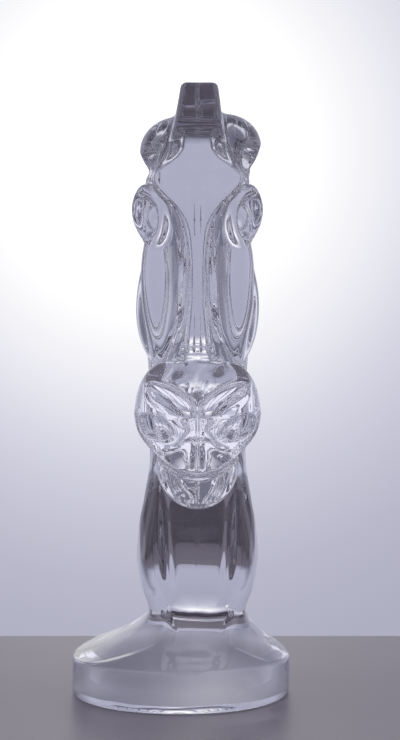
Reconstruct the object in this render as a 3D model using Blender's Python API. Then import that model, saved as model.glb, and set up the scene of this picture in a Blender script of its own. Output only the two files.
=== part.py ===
"""Solid crystal horse head: head, roached mane, neck and flared foot cast as one piece of clear glass.

The horse looks along -Y, +X is to the right as seen from its front, and the foot stands on Z = 0.
The sculpture is a smooth field: each form is a signed distance, below zero inside the glass, and forms
are melted together or carved out of each other as wax would be before the mould is made. The field's
zero surface is then skinned with quads, thinned to flats, and ground flat underneath.

Run with: blender --background --python part.py
"""

import bmesh
import bpy
import numpy as np

# Driving dimensions, in metres
HEIGHT = 0.2525          # underside of the foot to the top of the mane
CHEEK_WIDTH = 0.0516     # across both cheeks, the widest part of the head
MUZZLE_WIDTH = 0.0480    # across both nostril wings
MANE_WIDTH = 0.0228      # thickness of the mane where it is thickest
NECK_WIDTH = 0.0498      # across the swelling at the bottom of the neck
WAIST_WIDTH = 0.0394     # across the waist between neck and foot
WAIST_HEIGHT = 0.0320    # height at which the foot's sweep has become the waist
FOOT_WIDTH = 0.0910      # across the foot, seen from the front
FOOT_DEPTH = 0.1240      # front to back of the foot
FOOT_WALL = 0.0145       # height of the upright wall round the foot
HORSE_SHIFT_X = 0.0070   # the horse's plane of symmetry is this far right of the foot's centre
HORSE_SHIFT_Y = -0.0040  # and the middle of its waist is this far in front of it

# The skin
SKIN_STEP = 0.0015       # spacing of the grid on which the field is skinned
SKIN_FACETS = 9200       # triangles left after thinning

# The figure is drawn in millimetres for a sculpture this high, and grows or shrinks with HEIGHT.
DRAWN_HEIGHT = 252.5
METRE = DRAWN_HEIGHT / HEIGHT   # drawn millimetres in one real metre

# Side views of the figure as (y, z) points on smooth closed curves, drawn millimetres. The horse's own
# axes have x = 0 in its plane of symmetry and y = 0 over its waist.
WAIST_FRONT, WAIST_BACK = -21.0, 47.0
NECK_SIDE = (
    (WAIST_FRONT, 12), (WAIST_FRONT, 30), (-25, 41), (-29, 53), (-28, 65), (-22, 79), (-13.5, 92),
    (-4, 105), (3, 118), (6, 140), (-4, 160), (-12, 190), (-8, 222), (16, 233), (42, 225), (64, 203),
    (77, 172), (82, 138), (79, 115), (71, 98), (61, 86), (WAIST_BACK + 1, 76), (WAIST_BACK + 2, 66),
    (54, 57), (59.5, 48), (62, 39), (61, 28), (61, 12),
)
MANE_SIDE = (
    (-31.5, 229.5), (-30.5, 236), (-27.5, 248), (-23, 251.2), (2, 252.6), (28, 250.6), (51, 243),
    (68, 231), (79, 214), (88, 189), (94, 156), (94.5, 136), (94.5, 122), (89, 112), (79.5, 102),
    (70, 95), (60, 89), (60, 104),
    (67, 127), (66, 160), (54, 190), (34, 212), (6, 222), (-20, 226.5),
)
HEAD_SIDE = (
    (-24, 234), (-32, 216), (-39, 200), (-46, 182), (-53, 165), (-60, 150), (-66, 138), (-74, 128),
    (-77, 112), (-73, 97), (-60, 87), (-44, 90.5), (-27, 101.8), (-9, 113.8), (8, 132), (19, 157),
    (18, 184), (9, 210), (-2, 232),
)
FACE_SIDE = (
    (-27, 238), (-34, 218), (-42, 200), (-49.5, 182), (-56.5, 165), (-63.5, 148), (-67, 141.5),
    (-66, 139), (-58, 138), (-48, 152), (-38, 180), (-26, 206), (-14, 226),
)
FACE_TOP = (-34.0, 218.0)       # a point on the straight line of the face
FACE_SLOPE = 0.423              # how far the face comes forward for each step down
FACE_TILT = -23.0               # the same as a turn in degrees, for forms that lie along the face

# Half widths at heights, (z, half width) in drawn millimetres
CHEEK_STATIONS = (
    (86, 13), (100, 15), (112, 17), (128, 17), (145, 19.5), (160, 21.5), (175, 22), (190, 21.5), (200, 21),
    (212, 21.5), (219, 21), (226, 19), (236, 13),
)
NOSE_STATIONS = (
    (95, 12), (135, 9), (150, 5.6), (172, 4.8), (185, 6), (193, 8.5), (200, 13), (206, 17), (212, 17),
    (220, 13), (235, 9),
)
FACE_STATIONS = (
    (138, 6.6), (144, 5.4), (150, 4.6), (156, 4.0), (165, 3.5), (175, 3.5), (185, 4.2), (193, 5.8),
    (199.5, 9), (204.5, 13.8), (209, 17.3), (212, 17.8), (216, 14), (220, 8.5), (224, 6), (240, 5.6),
)
NECK_EDGES = ((45, 18), (80, 14), (150, 9))      # radius of the neck's rounded edges
RIDGE_EDGES = ((142, 3.0), (188, 3.4), (202, 1.5))      # radius of the nose ridge's rounded edges
MUZZLE_PLANE = ((-67.0, 137.5), (-84.5, 119.5))  # the flat top of the muzzle, seen from the side
MUZZLE_FRONT = -88.0                             # the lips and nostrils come this far forward
# The foot's sweep at front and back: (share of the rise from wall to waist, share of the way in)
SWEEP_STATIONS = (
    (-0.83, 0), (-0.35, 0.02), (0, 0.12), (0.27, 0.4), (0.5, 0.66), (0.8, 0.9), (1.23, 1),
)
WAIST_TAPER = 0.5       # how much of the waist's width its front and back ends lose


def smooth_closed(points, steps=6):
    """Closed Catmull-Rom curve through the points, with this many steps from one to the next."""
    here = np.asarray(points, float)
    before, after, beyond = (np.roll(here, shift, axis=0)[:, None] for shift in (1, -1, -2))
    here = here[:, None]
    t = np.linspace(0, 1, steps, endpoint=False)[None, :, None]
    curve = 0.5 * (
        2 * here
        + (after - before) * t
        + (2 * before - 5 * here + 4 * after - beyond) * t**2
        + (3 * here - before - 3 * after + beyond) * t**3
    )
    return curve.reshape(-1, 2)


def stations(at, pairs):
    """Smooth curve through (position, value) pairs that never overshoots between them."""
    knots, values = np.asarray(pairs, float).T
    gaps = np.diff(knots)
    rises = np.diff(values) / gaps
    product = rises[:-1] * rises[1:]
    total = np.where(product > 0, rises[:-1] + rises[1:], 1.0)
    middle = np.where(product > 0, 2 * product / total, 0.0)
    slopes = np.concatenate([rises[:1], middle, rises[-1:]])
    at = np.clip(at, knots[0], knots[-1])
    i = np.clip(np.searchsorted(knots, at, side="right") - 1, 0, len(gaps) - 1)
    t = (at - knots[i]) / gaps[i]
    return (
        values[i] * (1 + 2 * t) * (1 - t) ** 2
        + slopes[i] * gaps[i] * t * (1 - t) ** 2
        + values[i + 1] * t**2 * (3 - 2 * t)
        - slopes[i + 1] * gaps[i] * t**2 * (1 - t)
    )


def ease(start, end, at):
    """0 before start, 1 after end, and a smooth step between them."""
    t = np.clip((at - start) / (end - start), 0, 1)
    return t * t * (3 - 2 * t)


def melt(a, b, radius):
    """The union of two forms, with a fillet of about this radius where they meet."""
    overlap = np.maximum(radius - np.abs(a - b), 0) / radius
    return np.minimum(a, b) - overlap * overlap * radius / 4


def carve(glass, tool, radius):
    """The glass with the tool's form taken out, and the edge eased."""
    return -melt(-glass, tool, radius)


def trim(glass, limit, radius):
    """The part of the glass that lies inside the limit."""
    return -melt(-glass, -limit, radius)


def engrave(glass, sheet, width, depth, where=1.0):
    """A round-bottomed groove where a sheet meets the surface, running out as where goes from 1 to 0."""
    gouge = np.hypot(sheet, glass * width / (2 * depth)) - width / 2
    return carve(glass, gouge + 1.5 * width * (1 - where), 1.0)


def side_distance(point, outline):
    """Signed distance in the side view to a closed outline of (y, z) points."""
    _, y, z = point
    y, z = np.broadcast_arrays(y, z)
    nearest = np.full(y.shape, np.inf)
    inside = np.zeros(y.shape, bool)
    for (y0, z0), (y1, z1) in zip(outline, np.roll(outline, -1, axis=0)):
        run, rise = y1 - y0, z1 - z0
        t = np.clip(((y - y0) * run + (z - z0) * rise) / (run * run + rise * rise), 0, 1)
        nearest = np.minimum(nearest, (y - y0 - t * run) ** 2 + (z - z0 - t * rise) ** 2)
        if rise:
            spans = (z0 <= z) != (z1 <= z)
            inside ^= spans & (y < y0 + (z - z0) * run / rise)
    return np.where(inside, -1, 1) * np.sqrt(nearest)


def slab(point, outline, half_width, edge):
    """A side view given thickness, with its edges rounded."""
    across = np.abs(point[0]) - half_width + edge
    along = side_distance(point, smooth_closed(outline)) + edge
    corner = np.hypot(np.maximum(across, 0), np.maximum(along, 0))
    return corner + np.minimum(np.maximum(across, along), 0) - edge


def spun(a, b, angle):
    """Two coordinates of a point in axes that are turned by an angle in degrees."""
    c, s = np.cos(np.radians(angle)), np.sin(np.radians(angle))
    return a * c + b * s, b * c - a * s


def turned(point, centre, splay=0.0, tilt=0.0, roll=0.0):
    """A point in the axes (out, back, up) of a form at centre on the right, mirrored to the left.

    In degrees, roll lifts the form's outer side, splay turns that side to the front, and tilt lifts
    the form's back, so that a negative tilt leans its top back.
    """
    out, back, up = np.abs(point[0]) - centre[0], point[1] - centre[1], point[2] - centre[2]
    out, up = spun(out, up, roll)
    back, out = spun(back, out, splay)
    back, up = spun(back, up, tilt)
    return out, back, up


def egg(local, radii, offset=(0, 0, 0), taper=0.0):
    """An ellipsoid in turned coordinates. Taper narrows its back end and widens its front end."""
    out, back, up = (axis - shift for axis, shift in zip(local, offset))
    narrowing = 1 - taper * np.clip(back / radii[1], -1, 1)
    out, up = out / narrowing, up / narrowing
    scaled = [axis / radius for axis, radius in zip((out, back, up), radii)]
    size = np.sqrt(sum(part**2 for part in scaled))
    slope = np.sqrt(sum((part / radius) ** 2 for part, radius in zip(scaled, radii)))
    return size * (size - 1) / np.maximum(slope, 1e-6)


def almond_ring(local, size, tube, point_power):
    """A ring in the back-up plane. A power of 2 makes it an ellipse, and less gives it corners."""
    out, back, up = local
    share = (np.abs(back / size[0]) ** point_power + np.abs(up / size[1]) ** point_power) ** (1 / point_power)
    return np.hypot((share - 1) * min(size), out) - tube


def above_line(point, line):
    """Signed distance, in the side view, above a line that runs forwards and down."""
    (y0, z0), (y1, z1) = line
    length = np.hypot(y1 - y0, z1 - z0)
    return ((y0 - y1) * (point[2] - z0) - (z0 - z1) * (point[1] - y0)) / length


def behind_face(point):
    """Depth behind the straight line of the face."""
    _, y, z = point
    return (y - FACE_TOP[0] + FACE_SLOPE * (FACE_TOP[1] - z)) * np.cos(np.arctan(FACE_SLOPE))


def neck(point):
    """The neck: a thick rounded slab with a soft groove down its front on each side of the windpipe."""
    x, y, z = point
    waist, swell = WAIST_WIDTH / 2 * METRE, NECK_WIDTH / 2 * METRE
    half = stations(z, (
        (10, waist), (31, waist), (37, waist + 0.25 * (swell - waist)), (43, waist + 0.67 * (swell - waist)),
        (57, swell), (71, 0.965 * swell), (80, 0.9 * swell), (97, 0.81 * swell), (120, 0.82 * swell),
        (150, 0.88 * swell), (180, 0.87 * swell), (210, 0.8 * swell), (235, 0.52 * swell),
    ))
    groove_at, groove_half_width, groove_depth = 12.5, 2.4, 2.4
    across = np.exp(-(((np.abs(x) - groove_at - 0.06 * (z - 60)) / groove_half_width) ** 2))
    along = ease(40, 54, z) * ease(116, 98, z) * ease(16, -4, y)
    grooved = (x, y - groove_depth * across * along, z)
    return slab(grooved, NECK_SIDE, half, edge=stations(z, NECK_EDGES))


def skull(point):
    """The head without its muzzle: a wedge, narrow at the nose, where it has a round ridge with a shallow
    flute down its middle, and broad at the cheeks."""
    x, y, z = point
    nose, cheeks = stations(z, NOSE_STATIONS), stations(z, CHEEK_STATIONS)
    head = slab(point, HEAD_SIDE, nose + (cheeks - nose) * ease(2, 32, behind_face(point)), edge=6)
    jaw_centre = (13, 0, 161)
    jaw = egg(turned(point, jaw_centre, tilt=FACE_TILT), (CHEEK_WIDTH / 2 * METRE - jaw_centre[0], 20.5, 28))
    head = melt(head, jaw, 2.5)
    cheekbone = egg(turned(point, (17, -30, 168), splay=10, tilt=FACE_TILT), (5.5, 5, 22))
    head = melt(head, cheekbone, 7)
    flute_depth, flute_half_width = 0.8, 1.6
    sunk = flute_depth * np.exp(-((x / flute_half_width) ** 2)) * ease(216, 200, z)
    face = slab((x, y - sunk, z), FACE_SIDE, stations(z, FACE_STATIONS), edge=stations(z, RIDGE_EDGES))
    return melt(head, face, 3.5)


def above_mouth(point):
    """Height above the upper lip's edge, which rises to the sides."""
    x, y, z = point
    return z - (94.8 + 0.026 * x**2 + 0.12 * (y + 84))


def muzzle(point):
    """Nose end, two nostril wings and their rolls, and the upper lip, cut off along the mouth."""
    nose_end = egg(turned(point, (0, -66, 118), tilt=FACE_TILT), (17, 18.5, 19))
    wing_middle = 11.5
    wing = egg(turned(point, (wing_middle, -69, 119), tilt=-20),
               (MUZZLE_WIDTH / 2 * METRE - wing_middle, 15.5, 19))
    upper_lip = egg(turned(point, (0, -71, 99.5)), (18.3, 14, 12.2))
    block = trim(melt(melt(nose_end, wing, 3), upper_lip, 4), above_line(point, MUZZLE_PLANE), 0.7)
    wing_roll = egg(turned(point, (10.8, -79, 123.2), splay=-37, roll=29), (13.5, 5.4, 5.0))
    return trim(melt(block, wing_roll, 1.5), -above_mouth(point), 0.6)


def with_nostrils(head, point):
    """Nostril cups that face forwards and out, each under a roll that sweeps down to the middle."""
    rim_local = turned(point, (14.2, -78.5, 112.6), splay=52, tilt=17)
    roll = 1.5 + 1.5 * ease(-2, 4, rim_local[2])
    rim = almond_ring(rim_local, (8.8, 5.2), roll, 2.0)
    cup = egg(turned(point, (16.6, -82.2, 112.8), splay=52, tilt=17), (6.6, 7.6, 4.3))
    return carve(melt(head, rim, 1.6), cup, 1.2)


def with_mouth(head, point):
    """Chin, the line of the mouth, and the notch where the nose bone ends."""
    x, y, z = point
    chin = egg(turned(point, (0, -60, 98), tilt=8), (16, 17, 18))
    head = melt(head, chin, 2.5)
    line_width = 3.0
    mouth = above_mouth(point) + line_width / 2
    head = engrave(head, mouth, line_width, depth=2.6, where=ease(-38, -50, y))
    notch = z - (141 + 0.35 * (y + 67))
    return engrave(head, notch, width=3, depth=2, where=ease(13, 8, np.abs(x)) * ease(6, 3, behind_face(point)))


def mane(point):
    """The mane: a slab along the crest that spreads over the neck below the ears, cut flat in front.

    Flutes in its sides follow the locks.
    """
    x, y, z = point
    thick = MANE_WIDTH / 2 * METRE
    half = stations(z, (
        (60, 0.9 * thick), (120, 1.2 * thick), (170, 1.5 * thick), (205, 1.58 * thick),
        (219, 1.2 * thick), (227, 0.99 * thick), (238, 0.81 * thick), (248, 0.68 * thick),
        (256, 0.6 * thick),
    ))
    lean = 0.8                      # the top leans this far to the right
    crest = slab((x - lean * ease(222, 252, z), y, z), MANE_SIDE, half, edge=2.2)
    swing, spread = np.degrees(np.arctan2(z - 150, y - 10)), np.hypot(z - 150, y - 10)
    lock_angle, sweep = 11.0, 0.9   # degrees from one lock to the next, and how they sweep back
    wave = np.cos(2 * np.pi * (swing + sweep * (spread - 70)) / lock_angle)
    clear_of_front = ease(-2, 14, y) * ease(118, 95, swing)
    return crest + 1.1 * (0.5 - 0.5 * wave) ** 2 * clear_of_front


def with_ears(glass, point):
    """Laid-back ears: tapering leaves, hollowed on their outer side, a little higher on the right."""
    lean, pivot_x, pivot_z = 4.0, 1.2, 228.0    # the pair is turned by this many degrees about Y
    x, z = spun(point[0] - pivot_x, point[2] - pivot_z, lean)
    local = turned((x, point[1], z + pivot_z), (12.5, 7, 229), splay=6, tilt=14, roll=-26)
    leaf = egg(local, (13.5, 27, 12), taper=0.3)
    hollow = egg(local, (8, 14, 6), offset=(13, -9, 0), taper=0.3)
    return carve(melt(glass, leaf, 4), hollow, 2)


def with_eyes(glass, point):
    """Almond eyes: on a mound under the brow, a heavy lid, a socket and a raised eyeball."""
    mound = egg(turned(point, (13.6, -23, 196.5), splay=38, tilt=FACE_TILT), (9.5, 10.5, 12.5))
    rim_local = turned(point, (18.9, -27.2, 196.5), splay=38, tilt=FACE_TILT)
    lid = 2.0 + 1.2 * ease(-4, 9, rim_local[2])
    rim = almond_ring(rim_local, (7.8, 9.8), lid, 1.8)
    socket = egg(turned(point, (21.5, -29.2, 195.8), splay=38, tilt=FACE_TILT), (5.5, 6.1, 8.1))
    ball = egg(turned(point, (14.8, -23.9, 195.8), splay=38, tilt=FACE_TILT), (6.6, 5.2, 6.9))
    return melt(carve(melt(melt(glass, mound, 4), rim, 2.5), socket, 1.3), ball, 0.8)


def waist_edge(y):
    """Half the width up to which the foot's scoops come, narrower at the waist's front and back ends."""
    middle = (WAIST_FRONT + WAIST_BACK) / 2 + HORSE_SHIFT_Y * METRE
    share = np.clip(2 * np.abs(y - middle) / (WAIST_BACK - WAIST_FRONT + 6), 0, 1.2)
    return WAIST_WIDTH / 2 * METRE * (1 - WAIST_TAPER * share**3)


def foot(point):
    """The foot: an oval block swept in to the waist at front and back, and scooped at its sides."""
    x, y, z = point
    wall, top = FOOT_WALL * METRE, WAIST_HEIGHT * METRE
    half_x, half_y = FOOT_WIDTH / 2 * METRE, FOOT_DEPTH / 2 * METRE
    inwards = stations((z - wall) / (top - wall), SWEEP_STATIONS)
    front = half_y + inwards * (1 - WAIST_FRONT - HORSE_SHIFT_Y * METRE - half_y)
    back = half_y + inwards * (WAIST_BACK - 1 + HORSE_SHIFT_Y * METRE - half_y)
    oval_power = 2.2
    share = np.abs(x / half_x) ** oval_power + np.abs(y / np.where(y < 0, front, back)) ** oval_power
    block = (share ** (1 / oval_power) - 1) * half_x
    for side in (1, -1):
        reach = half_x - side * HORSE_SHIFT_X * METRE - waist_edge(y)
        inward = (half_x - side * x) / reach
        scoop_power = 1.35
        rise = 1 - np.maximum(1 - np.clip(inward, 0, 1) ** scoop_power, 0) ** (1 / scoop_power)
        above = (z - wall - (top - wall) * rise) / np.hypot(1, (top - wall) / reach)
        crease = 0.8 + 6.2 * ease(0.3, 0.9, (z - wall) / (top - wall))  # crisp at the wall, soft at the waist
        block = trim(block, np.where(inward < 1, above, -half_x), crease)
    return trim(block, z - top - 8, 1.0)


def horse(point):
    """Head, mane and neck, in the horse's own axes."""
    head = with_mouth(with_nostrils(melt(skull(point), muzzle(point), 3.0), point), point)
    body = melt(melt(neck(point), head, 4), mane(point), 1.2)
    return with_eyes(with_ears(body, point), point)


def crystal(point):
    """The whole sculpture's field, in drawn millimetres, with some glass to spare under the foot."""
    x, y, z = point
    own_axes = (x - HORSE_SHIFT_X * METRE, y - HORSE_SHIFT_Y * METRE, z)
    above_wall = np.maximum(horse(own_axes), FOOT_WALL * METRE + 1 - z)
    return np.maximum(melt(above_wall, foot(point), 4.0), -FOOT_WALL / 3 * METRE - z)


def grid_axes(step):
    """Grid lines along x, y and z that hold the whole sculpture with room to spare, drawn millimetres."""
    room = 6
    half = (FOOT_WIDTH / 2 * METRE, FOOT_DEPTH / 2 * METRE)
    shift = (HORSE_SHIFT_X * METRE, HORSE_SHIFT_Y * METRE)
    wide = max(CHEEK_WIDTH, MUZZLE_WIDTH, NECK_WIDTH) / 2 * METRE
    outlines = np.concatenate([np.array(side) for side in (NECK_SIDE, MANE_SIDE, HEAD_SIDE, FACE_SIDE)])
    last, top = outlines.max(axis=0)
    low = (min(-half[0], shift[0] - wide), min(-half[1], shift[1] + MUZZLE_FRONT), -FOOT_WALL / 3 * METRE)
    high = (max(half[0], shift[0] + wide), max(half[1], shift[1] + last), top)
    return [np.arange(a - room, b + room + step, step) for a, b in zip(low, high)]


def without_pinches(field):
    """The field with glass added where a grid square's corners alternate, which would pinch the skin."""
    just_inside = -0.02
    filled = True
    while filled:
        filled = False
        for plane in ((0, 1), (1, 2), (0, 2)):
            squares = np.moveaxis(field, plane, (0, 1))
            inside = squares < 0
            near, beside, above, far = inside[:-1, :-1], inside[1:, :-1], inside[:-1, 1:], inside[1:, 1:]
            rising, falling = near & far & ~beside & ~above, beside & above & ~near & ~far
            squares[1:, :-1][rising] = just_inside
            squares[:-1, :-1][falling] = just_inside
            filled = filled or bool(rising.any() or falling.any())
    return field


def skinned(field, axes):
    """Points and quads of a closed skin on the field's zero surface: one point in each cell it crosses."""
    inside = field < 0
    shape = np.array(field.shape)
    corners = list(np.ndindex(2, 2, 2))
    count = np.zeros(shape - 1, int)
    for corner in corners:
        count += inside[tuple(slice(c, n - 1 + c) for c, n in zip(corner, shape))]
    cells = np.argwhere((count > 0) & (count < 8))
    number = np.full(shape - 1, -1)
    number[tuple(cells.T)] = np.arange(len(cells))
    total, hits = np.zeros((len(cells), 3)), np.zeros(len(cells))
    for corner in corners:
        for step in np.eye(3, dtype=int):
            if np.dot(corner, step):
                continue
            here = field[tuple((cells + corner).T)]
            there = field[tuple((cells + corner + step).T)]
            crossed = (here < 0) != (there < 0)
            share = np.where(crossed, here / np.where(crossed, here - there, 1), 0)
            total += crossed[:, None] * (np.array(corner) + share[:, None] * step)
            hits += crossed
    spacing = np.array([axis[1] - axis[0] for axis in axes])
    points = np.array([axis[0] for axis in axes]) + (cells + total / hits[:, None]) * spacing
    return points, np.concatenate([quads_across(inside, number, axis) for axis in range(3)])


def settled(points, reach):
    """The points moved straight on to the field's zero surface, each by no more than reach."""
    nudge = 0.01
    for _ in range(2):
        value = crystal(points.T)
        slope = np.stack([crystal((points + nudge * axis).T) - value for axis in np.eye(3)], axis=1) / nudge
        steepness = np.sum(slope**2, axis=1, keepdims=True)
        move = -value[:, None] * slope / np.maximum(steepness, 0.1)
        length = np.linalg.norm(move, axis=1, keepdims=True)
        points = points + move * np.minimum(1, reach / np.maximum(length, 1e-9))
    return points


def quads_across(inside, number, axis):
    """A quad round each grid edge along this axis that passes through the surface, facing outwards."""
    first = [slice(1, n - 1) for n in inside.shape]
    second = list(first)
    first[axis], second[axis] = slice(0, inside.shape[axis] - 1), slice(1, inside.shape[axis])
    changes = np.argwhere(inside[tuple(first)] != inside[tuple(second)])
    leaving = inside[tuple(first)][tuple(changes.T)]
    u, v = np.eye(3, dtype=int)[(axis + 1) % 3], np.eye(3, dtype=int)[(axis + 2) % 3]
    cells = changes + 1 - np.eye(3, dtype=int)[axis]
    quads = np.stack([number[tuple((cells - shift).T)] for shift in (0 * u, u, u + v, v)], axis=1)
    quads[~leaving] = quads[~leaving, ::-1]
    return quads


def clear_crystal():
    """Lead crystal: clear, faintly lilac, fire-polished smooth."""
    material = bpy.data.materials.new("clear_crystal")
    material.use_nodes = True
    shader = material.node_tree.nodes["Principled BSDF"]
    shader.inputs["Base Color"].default_value = (0.97, 0.97, 1.0, 1.0)
    shader.inputs["Metallic"].default_value = 0.0
    shader.inputs["Roughness"].default_value = 0.0
    shader.inputs["IOR"].default_value = 1.545
    shader.inputs["Transmission Weight"].default_value = 1.0
    return material


def box_cutter(name, low, high, collection):
    """A cube with these corners that cuts and isn't part of the object."""
    mesh = bpy.data.meshes.new(name)
    cube = bmesh.new()
    bmesh.ops.create_cube(cube, size=1.0)
    for vertex in cube.verts:
        vertex.co = [a + (b - a) * (c + 0.5) for a, b, c in zip(low, high, vertex.co)]
    cube.to_mesh(mesh)
    cube.free()
    cutter = bpy.data.objects.new(name, mesh)
    cutter.hide_render = True
    cutter.display_type = "WIRE"
    collection.objects.link(cutter)
    return cutter


def cast_horse(collection):
    """The glass as it leaves the mould, thinned to flat facets."""
    axes = grid_axes(SKIN_STEP * METRE)
    point = [axis.reshape([-1 if i == j else 1 for j in range(3)]) for i, axis in enumerate(axes)]
    points, quads = skinned(without_pinches(crystal(point)), axes)
    points = settled(points, reach=SKIN_STEP * METRE / 3)
    mesh = bpy.data.meshes.new("horse_head")
    mesh.from_pydata((points / METRE).tolist(), [], quads.tolist())
    mesh.shade_smooth()
    mesh.materials.append(clear_crystal())
    casting = bpy.data.objects.new("horse_head", mesh)
    collection.objects.link(casting)
    thinning = casting.modifiers.new("thin_to_facets", "DECIMATE")
    thinning.ratio = SKIN_FACETS / (2 * len(quads))
    return casting


def grind_flat(casting, cutters):
    """Takes off the glass below the standing plane."""
    reach = FOOT_WIDTH + FOOT_DEPTH
    wheel = box_cutter("grinding_wheel", (-reach, -reach, -FOOT_WALL), (reach, reach, 0.0), cutters)
    ground = casting.modifiers.new("ground_underside", "BOOLEAN")
    ground.operation = "DIFFERENCE"
    ground.object = wheel


def main():
    """Clears the scene and makes the crystal horse head."""
    for old in list(bpy.data.objects):
        bpy.data.objects.remove(old)
    sculpture = bpy.data.collections.new("crystal_horse_head")
    cutters = bpy.data.collections.new("cutters")
    for collection in (sculpture, cutters):
        bpy.context.scene.collection.children.link(collection)
    grind_flat(cast_horse(sculpture), cutters)


main()
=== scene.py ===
"""Looks of the solid crystal horse head: the fine glass casting, a pale tabletop, soft studio light and camera.

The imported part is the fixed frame. Its one faceted node is replaced by a fine skin of the same form, which
is a smooth field: every form is a signed distance in drawn millimetres, below zero inside the glass, and the
forms are melted together or carved out of each other as wax is before the mould is made. The horse looks
along -Y, +X is to the right as seen from its front, and the foot stands on Z = 0.
"""

from __future__ import annotations

import logging
import math
from collections.abc import Sequence
from dataclasses import dataclass, field
from enum import Enum
from functools import cached_property
from typing import Any

import bpy
import numpy as np
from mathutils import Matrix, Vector


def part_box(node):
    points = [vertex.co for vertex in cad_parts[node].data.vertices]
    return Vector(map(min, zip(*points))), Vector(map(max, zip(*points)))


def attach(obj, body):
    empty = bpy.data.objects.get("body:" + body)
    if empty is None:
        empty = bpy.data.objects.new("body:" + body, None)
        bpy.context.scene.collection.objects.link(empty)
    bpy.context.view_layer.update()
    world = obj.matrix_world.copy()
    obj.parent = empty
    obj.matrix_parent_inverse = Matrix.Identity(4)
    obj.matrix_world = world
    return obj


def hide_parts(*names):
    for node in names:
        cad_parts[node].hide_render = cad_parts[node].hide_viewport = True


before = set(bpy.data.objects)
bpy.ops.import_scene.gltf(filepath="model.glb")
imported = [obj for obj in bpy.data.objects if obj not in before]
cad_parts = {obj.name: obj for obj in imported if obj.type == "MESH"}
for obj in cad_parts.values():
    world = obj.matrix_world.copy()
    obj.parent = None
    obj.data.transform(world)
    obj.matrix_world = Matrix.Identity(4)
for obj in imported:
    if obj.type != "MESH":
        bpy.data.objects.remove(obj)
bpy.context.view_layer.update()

Array = np.ndarray
Point = tuple[Array, Array, Array]
Outline = Sequence[tuple[float, float]]

LOG = logging.getLogger("crystal_horse_head")
MANE_TOP = 252.6        # the top of the mane is drawn this many millimetres above the table
FACE_SLOPE = 0.423      # how far the line of the face comes forward for each step down
FACE_TILT = -23.0       # the same as a turn in degrees, for forms that lie along the face


class Side(Enum):
    """The two sides of the foot, as the sign of x."""

    RIGHT = 1
    LEFT = -1


# Field arithmetic


def smooth_closed(points: Outline, steps: int) -> Array:
    """Closed Catmull-Rom curve through a few points.

    Args:
        points: (y, z) points in order round the outline.
        steps: Straight pieces from one point to the next.

    Returns:
        The curve's points, one (y, z) a row.
    """
    here = np.asarray(points, float)
    before, after, beyond = (np.roll(here, shift, axis=0)[:, None] for shift in (1, -1, -2))
    here = here[:, None]
    t = np.linspace(0, 1, steps, endpoint=False)[None, :, None]
    curve = 0.5 * (
        2 * here
        + (after - before) * t
        + (2 * before - 5 * here + 4 * after - beyond) * t**2
        + (3 * here - before - 3 * after + beyond) * t**3
    )
    return curve.reshape(-1, 2)


def stations(at: Array, pairs: Outline) -> Array:
    """Smooth curve through (position, value) pairs that never overshoots between them.

    Args:
        at: Positions to read.
        pairs: The (position, value) pairs, in rising order.

    Returns:
        The value at each position, held at the ends.
    """
    knots, values = np.asarray(pairs, float).T
    gaps = np.diff(knots)
    rises = np.diff(values) / gaps
    product = rises[:-1] * rises[1:]
    total = np.where(product > 0, rises[:-1] + rises[1:], 1.0)
    middle = np.where(product > 0, 2 * product / total, 0.0)
    slopes = np.concatenate([rises[:1], middle, rises[-1:]])
    at = np.clip(at, knots[0], knots[-1])
    i = np.clip(np.searchsorted(knots, at, side="right") - 1, 0, len(gaps) - 1)
    t = (at - knots[i]) / gaps[i]
    return (
        values[i] * (1 + 2 * t) * (1 - t) ** 2
        + slopes[i] * gaps[i] * t * (1 - t) ** 2
        + values[i + 1] * t**2 * (3 - 2 * t)
        - slopes[i + 1] * gaps[i] * t**2 * (1 - t)
    )


def ease(start: float, end: float, at: Array) -> Array:
    """0 before start, 1 after end, and a smooth step between them."""
    t = np.clip((at - start) / (end - start), 0, 1)
    return t * t * (3 - 2 * t)


def melt(a: Array, b: Array, radius: float) -> Array:
    """The union of two forms, with a fillet of about this radius where they meet."""
    overlap = np.maximum(radius - np.abs(a - b), 0) / radius
    return np.minimum(a, b) - overlap * overlap * radius / 4


def carve(glass: Array, tool: Array, radius: float) -> Array:
    """The glass with the tool's form taken out, and the edge eased."""
    return -melt(-glass, tool, radius)


def trim(glass: Array, limit: Array, radius: float) -> Array:
    """The part of the glass that lies inside the limit."""
    return -melt(-glass, -limit, radius)


def engrave(glass: Array, sheet: Array, width: float, depth: float, where: Array) -> Array:
    """A round-bottomed groove where a sheet meets the surface.

    Args:
        glass: The form to cut.
        sheet: Signed distance to the sheet.
        width: Width of the groove at the surface.
        depth: Depth of the groove.
        where: 1 where the groove is whole, running out as this goes to 0.

    Returns:
        The grooved form.
    """
    gouge = np.hypot(sheet, glass * width / (2 * depth)) - width / 2
    return carve(glass, gouge + 1.5 * width * (1 - where), 1.0)


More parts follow.
